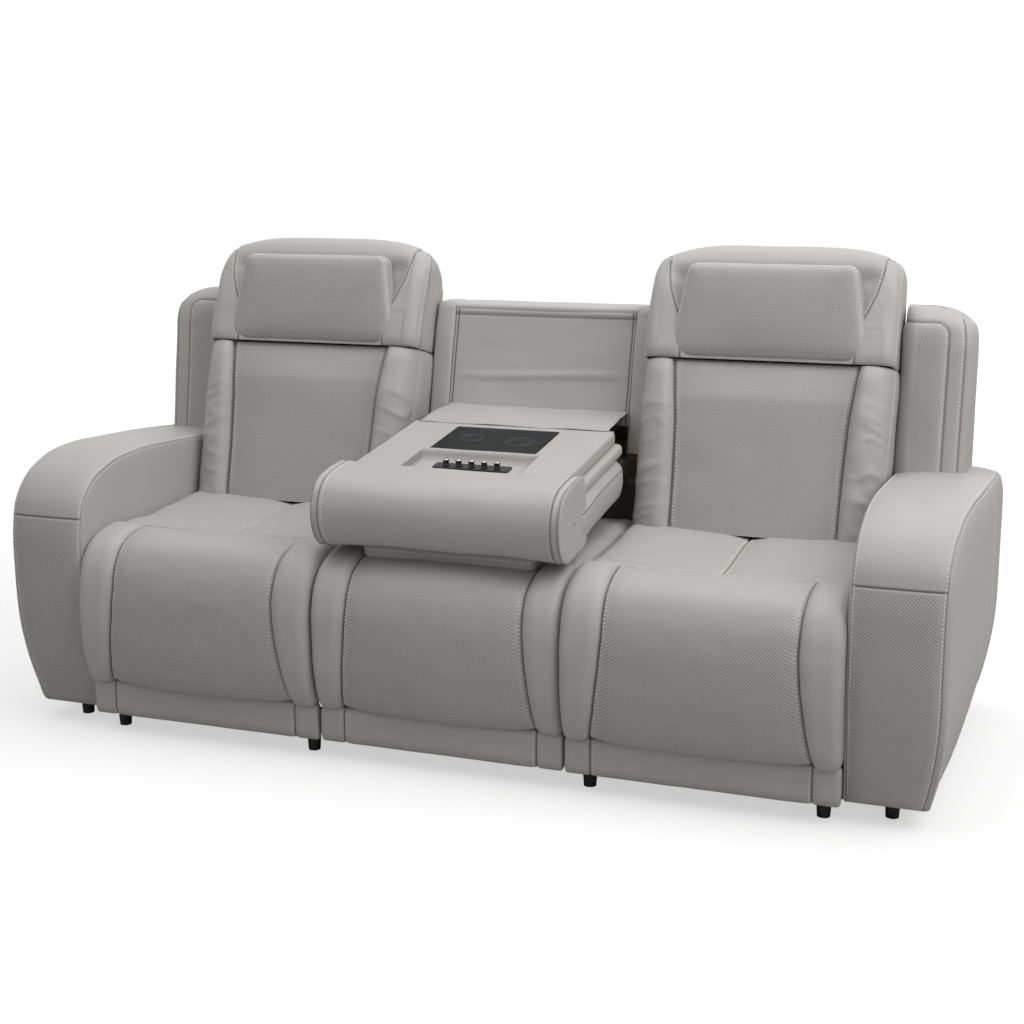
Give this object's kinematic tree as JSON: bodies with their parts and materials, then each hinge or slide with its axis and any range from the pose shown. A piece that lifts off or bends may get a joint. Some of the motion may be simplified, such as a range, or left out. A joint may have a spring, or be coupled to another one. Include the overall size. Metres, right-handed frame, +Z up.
{
  "type": "reclining sofa with fold-down console",
  "caption": "Three-seat leather recliner sofa: side seats glide, recline and lift footrests and headrests; the middle back folds down as a console with knobs.",
  "frame": {"origin": "centre of the bounding box in plan, on the floor", "axes": "+X to the viewer's right along the seat row, +Y from front to back, +Z up"},
  "size_m": [2.237, 0.963, 1.1453],
  "materials": {
    "leather": "soft satin, plain grain",
    "leather_perforated": "soft satin, fine diamond perforation",
    "plywood": "sanded",
    "webbing": "woven",
    "steel": "satin",
    "black_plastic": "matt",
    "dark_glass": "gloss",
    "knob": "gloss with a bright cap"
  },
  "bodies": {
    "frame": {"right_arm_cover": "leather", "left_arm_cover": "leather", "right_wing": "leather", "left_wing": "leather", "arm_frames": "plywood", "base_frame": "plywood", "rear_panels": "leather", "feet": "black_plastic", "centre_seat_frame": "plywood", "centre_seat_webbing": "webbing", "centre_seat_cushion": "leather", "centre_front_strip": "leather", "centre_back_frame": "plywood", "centre_back_panel": "leather_perforated", "console_bridge_flap": "leather", "console_hinge_brackets": "steel"},
    "right_seat": {"right_seat_frame": "plywood", "right_seat_webbing": "webbing", "right_seat_cushion": "leather", "right_seat_hardware": "steel"},
    "left_seat": {"left_seat_frame": "plywood", "left_seat_webbing": "webbing", "left_seat_cushion": "leather", "left_seat_hardware": "steel"},
    "right_footrest": {"right_footrest_board": "plywood", "right_footrest_pad": "leather_perforated", "right_footrest_strip": "leather"},
    "left_footrest": {"left_footrest_board": "plywood", "left_footrest_pad": "leather_perforated", "left_footrest_strip": "leather"},
    "right_cranks": {"right_drive_cranks": "steel"},
    "left_cranks": {"left_drive_cranks": "steel"},
    "right_couplers": {"right_coupler_links": "steel"},
    "left_couplers": {"left_coupler_links": "steel"},
    "right_back": {"right_back_frame": "plywood", "right_back_cushion": "leather", "right_back_shell": "leather", "right_headrest_motor": "black_plastic"},
    "left_back": {"left_back_frame": "plywood", "left_back_cushion": "leather", "left_back_shell": "leather", "left_headrest_motor": "black_plastic"},
    "right_headrest": {"right_headrest_core": "leather", "right_headrest_pillow": "leather_perforated", "right_headrest_rods": "steel"},
    "left_headrest": {"left_headrest_core": "leather", "left_headrest_pillow": "leather_perforated", "left_headrest_rods": "steel"},
    "console": {"console_frame": "steel", "console_deck": "leather", "console_cushion": "leather", "console_bolster": "leather", "console_head_pad": "leather", "charging_plate": "dark_glass", "knob_plate": "black_plastic"},
    "knob_1_body": {"knob_1": "knob"},
    "knob_2_body": {"knob_2": "knob"},
    "knob_3_body": {"knob_3": "knob"},
    "knob_4_body": {"knob_4": "knob"},
    "knob_5_body": {"knob_5": "knob"}
  },
  "joints": [
    {"name": "right_glide", "type": "slide", "parent": "frame", "child": "right_seat", "axis": [0, -1, 0], "range_m": [0, 0.12]},
    {"name": "right_recline", "type": "hinge", "parent": "right_seat", "child": "right_back", "pos_m": [0.5915, 0.18948, 0.35481], "axis": [-1, 0, 0], "range_deg": [0, 33]},
    {"name": "right_footrest_swing", "type": "hinge", "parent": "right_seat", "child": "right_footrest", "pos_m": [0.5915, -0.4155, 0.41], "axis": [-1, 0, 0], "range_deg": [0, 90]},
    {"name": "right_drive_turn", "type": "hinge", "parent": "right_seat", "child": "right_cranks", "pos_m": [0.5915, -0.2385, 0.3], "axis": [-1, 0, 0], "range_deg": [0, 90]},
    {"name": "right_coupler_turn", "type": "hinge", "parent": "right_cranks", "child": "right_couplers", "pos_m": [0.5915, -0.2145, 0.216], "axis": [-1, 0, 0], "range_deg": [-90, 0]},
    {"name": "right_headrest_tilt", "type": "hinge", "parent": "right_back", "child": "right_headrest", "pos_m": [0.5915, 0.22601, 0.86784], "axis": [1, 0, 0], "range_deg": [0, 30]},
    {"name": "left_glide", "type": "slide", "parent": "frame", "child": "left_seat", "axis": [0, -1, 0], "range_m": [0, 0.12]},
    {"name": "left_recline", "type": "hinge", "parent": "left_seat", "child": "left_back", "pos_m": [-0.5915, 0.18948, 0.35481], "axis": [-1, 0, 0], "range_deg": [0, 33]},
    {"name": "left_footrest_swing", "type": "hinge", "parent": "left_seat", "child": "left_footrest", "pos_m": [-0.5915, -0.4155, 0.41], "axis": [-1, 0, 0], "range_deg": [0, 90]},
    {"name": "left_drive_turn", "type": "hinge", "parent": "left_seat", "child": "left_cranks", "pos_m": [-0.5915, -0.2385, 0.3], "axis": [-1, 0, 0], "range_deg": [0, 90]},
    {"name": "left_coupler_turn", "type": "hinge", "parent": "left_cranks", "child": "left_couplers", "pos_m": [-0.5915, -0.2145, 0.216], "axis": [-1, 0, 0], "range_deg": [-90, 0]},
    {"name": "left_headrest_tilt", "type": "hinge", "parent": "left_back", "child": "left_headrest", "pos_m": [-0.5915, 0.22601, 0.86784], "axis": [1, 0, 0], "range_deg": [0, 30]},
    {"name": "console_fold", "type": "hinge", "parent": "frame", "child": "console", "pos_m": [0, 0.09368, 0.62444], "axis": [-1, 0, 0], "range_deg": [0, 111], "deforming": ["console_bridge_flap"]},
    {"name": "knob_1_turn", "type": "hinge", "parent": "console", "child": "knob_1_body", "pos_m": [-0.062, -0.2233, 0.66239], "axis": [0, -0.1219, 0.9925], "range_deg": [-135, 135]},
    {"name": "knob_2_turn", "type": "hinge", "parent": "console", "child": "knob_2_body", "pos_m": [-0.031, -0.2233, 0.66239], "axis": [0, -0.1219, 0.9925], "range_deg": [-135, 135]},
    {"name": "knob_3_turn", "type": "hinge", "parent": "console", "child": "knob_3_body", "pos_m": [0, -0.2233, 0.66239], "axis": [0, -0.1219, 0.9925], "range_deg": [-135, 135]},
    {"name": "knob_4_turn", "type": "hinge", "parent": "console", "child": "knob_4_body", "pos_m": [0.031, -0.2233, 0.66239], "axis": [0, -0.1219, 0.9925], "range_deg": [-135, 135]},
    {"name": "knob_5_turn", "type": "hinge", "parent": "console", "child": "knob_5_body", "pos_m": [0.062, -0.2233, 0.66239], "axis": [0, -0.1219, 0.9925], "range_deg": [-135, 135]}
  ],
  "couplings": [
    {"joint": "right_recline", "follows": "right_glide", "rad_per_m": 4.79},
    {"joint": "right_footrest_swing", "follows": "right_glide", "rad_per_m": 13.085},
    {"joint": "right_drive_turn", "follows": "right_glide", "rad_per_m": 13.085},
    {"joint": "right_coupler_turn", "follows": "right_glide", "rad_per_m": -13.085},
    {"joint": "left_recline", "follows": "left_glide", "rad_per_m": 4.79},
    {"joint": "left_footrest_swing", "follows": "left_glide", "rad_per_m": 13.085},
    {"joint": "left_drive_turn", "follows": "left_glide", "rad_per_m": 13.085},
    {"joint": "left_coupler_turn", "follows": "left_glide", "rad_per_m": -13.085}
  ]
}
